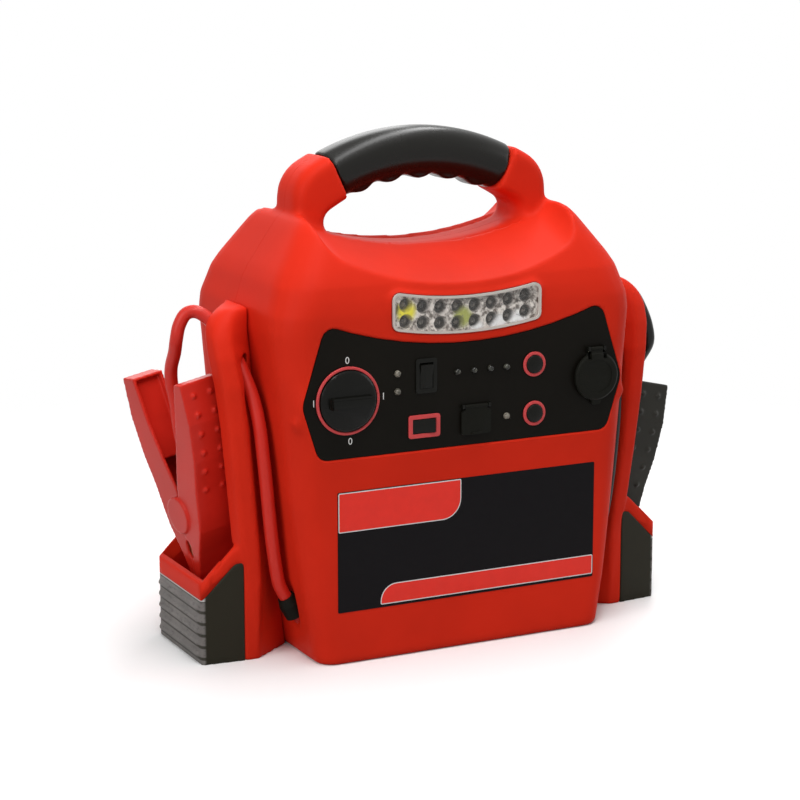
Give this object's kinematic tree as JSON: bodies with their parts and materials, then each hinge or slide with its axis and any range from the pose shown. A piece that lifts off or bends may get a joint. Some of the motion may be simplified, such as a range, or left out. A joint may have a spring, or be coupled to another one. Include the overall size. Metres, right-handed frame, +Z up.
{
  "type": "jump starter pack",
  "caption": "Portable engine starter with an arched carrying handle, a control panel, a work lamp and two sprung battery clamps parked in side pockets on short heavy leads.",
  "frame": {"origin": "middle of the base, on the surface that the pack stands on", "axes": "+X to the right seen from the front, -Y out of the control panel, +Z up"},
  "size_m": [0.4199, 0.186, 0.3745],
  "materials": {
    "red_housing": "satin moulded ABS",
    "rubber": "matt",
    "black_plastic": "satin",
    "red_trim": "gloss",
    "status_lens": "gloss",
    "level_lens": "gloss",
    "circuit_board": "solder mask",
    "lamp_board_white": "solder mask",
    "lamp_emitter": "clear resin over a yellow phosphor",
    "clear_lens": "clear",
    "reflector": "vacuum plated",
    "red_lead_jacket": "satin",
    "black_lead_jacket": "satin",
    "cable_jacket": "satin",
    "red_clamp_plastic": "satin",
    "black_clamp_plastic": "satin",
    "copper": "plated copper",
    "steel": "zinc plated",
    "battery_case": "matt",
    "cast_alloy": "as cast",
    "brass": "machined",
    "needle_red": "matt"
  },
  "bodies": {
    "housing": {"front_shell": "red_housing", "rear_shell": "red_housing", "handle_grip": "rubber", "control_panel": "black_plastic", "switch_ring": "red_trim", "switch_body": "black_plastic", "status_leds": "status_lens", "level_leds": "level_lens", "output_rocker_frame": "black_plastic", "light_rocker_frame": "red_trim", "usb_socket": "black_plastic", "test_bezel": "red_trim", "air_bezel": "red_trim", "dc_socket": "black_plastic", "control_board": "circuit_board", "lamp_lens": "clear_lens", "lamp_reflector": "reflector", "lamp_leds": "lamp_emitter", "lamp_board": "lamp_board_white", "left_holster": "red_housing", "right_holster": "red_housing", "left_boot": "rubber", "right_boot": "rubber", "lead_glands": "black_plastic", "red_lead": "red_lead_jacket", "black_lead": "black_lead_jacket", "red_clamp_pin": "steel", "red_clamp_spring": "steel", "red_clamp_lug": "copper", "black_clamp_pin": "steel", "black_clamp_spring": "steel", "black_clamp_lug": "copper", "battery": "battery_case", "battery_terminals": "copper", "battery_strap": "steel", "inner_cables": "cable_jacket", "compressor_motor": "steel", "compressor_head": "cast_alloy", "air_fitting": "brass", "gauge_case": "black_plastic", "gauge_lens": "clear_lens", "charge_inlet": "black_plastic", "housing_screws": "steel"},
    "main_switch": {"switch_knob": "black_plastic"},
    "output_rocker_key": {"output_rocker": "black_plastic"},
    "light_rocker_key": {"light_rocker": "black_plastic"},
    "usb_flap": {"usb_cover": "rubber"},
    "test_push": {"test_button": "black_plastic"},
    "air_push": {"air_button": "black_plastic"},
    "outlet_flap": {"dc_cap": "rubber"},
    "red_front_lever": {"red_clamp_front": "red_clamp_plastic", "red_clamp_front_jaw": "copper"},
    "red_rear_lever": {"red_clamp_rear": "red_clamp_plastic", "red_clamp_rear_jaw": "copper"},
    "black_front_lever": {"black_clamp_front": "black_clamp_plastic", "black_clamp_front_jaw": "copper"},
    "black_rear_lever": {"black_clamp_rear": "black_clamp_plastic", "black_clamp_rear_jaw": "copper"},
    "needle": {"gauge_needle": "needle_red"}
  },
  "joints": [
    {"name": "main_switch_turn", "type": "hinge", "parent": "housing", "child": "main_switch", "pos_m": [-0.095, -0.0802, 0.1925], "axis": [0, 1, 0], "range_deg": [0, 90]},
    {"name": "output_rocker_tilt", "type": "hinge", "parent": "housing", "child": "output_rocker_key", "pos_m": [-0.0333, -0.0766, 0.205], "axis": [1, 0, 0], "range_deg": [-12, 0]},
    {"name": "light_rocker_tilt", "type": "hinge", "parent": "housing", "child": "light_rocker_key", "pos_m": [-0.0348, -0.0766, 0.1685], "axis": [0, 0, -1], "range_deg": [-12, 0]},
    {"name": "test_button_press", "type": "slide", "parent": "housing", "child": "test_push", "axis": [0, 1, 0], "range_m": [0, 0.0015], "stiffness_N_per_m": 300},
    {"name": "air_button_press", "type": "slide", "parent": "housing", "child": "air_push", "axis": [0, 1, 0], "range_m": [0, 0.0015], "stiffness_N_per_m": 300},
    {"name": "dc_cap_flip", "type": "hinge", "parent": "housing", "child": "outlet_flap", "pos_m": [0.1065, -0.0828, 0.2131], "axis": [-1, 0, 0], "range_deg": [0, 110]},
    {"name": "usb_cover_flip", "type": "hinge", "parent": "housing", "child": "usb_flap", "pos_m": [0.0065, -0.0819, 0.1796], "axis": [-1, 0, 0], "range_deg": [0, 100]},
    {"name": "red_front_squeeze", "type": "hinge", "parent": "housing", "child": "red_front_lever", "pos_m": [-0.1724, 0.012, 0.1024], "axis": [-0.9736, -0.1558, -0.1666], "range_deg": [0, 13], "stiffness_Nm_per_rad": 2, "springref_deg": -17.19},
    {"name": "red_rear_squeeze", "type": "hinge", "parent": "housing", "child": "red_rear_lever", "pos_m": [-0.1724, 0.012, 0.1024], "axis": [0.9736, 0.1558, 0.1666], "range_deg": [0, 13], "stiffness_Nm_per_rad": 2, "springref_deg": -17.19},
    {"name": "black_front_squeeze", "type": "hinge", "parent": "housing", "child": "black_front_lever", "pos_m": [0.1703, 0.008, 0.066], "axis": [-0.9744, 0, 0.225], "range_deg": [0, 13], "stiffness_Nm_per_rad": 2, "springref_deg": -17.19},
    {"name": "black_rear_squeeze", "type": "hinge", "parent": "housing", "child": "black_rear_lever", "pos_m": [0.1703, 0.008, 0.066], "axis": [0.9744, 0, -0.225], "range_deg": [0, 13], "stiffness_Nm_per_rad": 2, "springref_deg": -17.19},
    {"name": "gauge_needle_turn", "type": "hinge", "parent": "housing", "child": "needle", "pos_m": [-0.052, 0.083, 0.205], "axis": [0, -1, 0], "range_deg": [0, 270], "stiffness_Nm_per_rad": 0.0005}
  ],
  "couplings": [
    {"joint": "red_rear_squeeze", "follows": "red_front_squeeze", "ratio": 1},
    {"joint": "black_rear_squeeze", "follows": "black_front_squeeze", "ratio": 1}
  ]
}
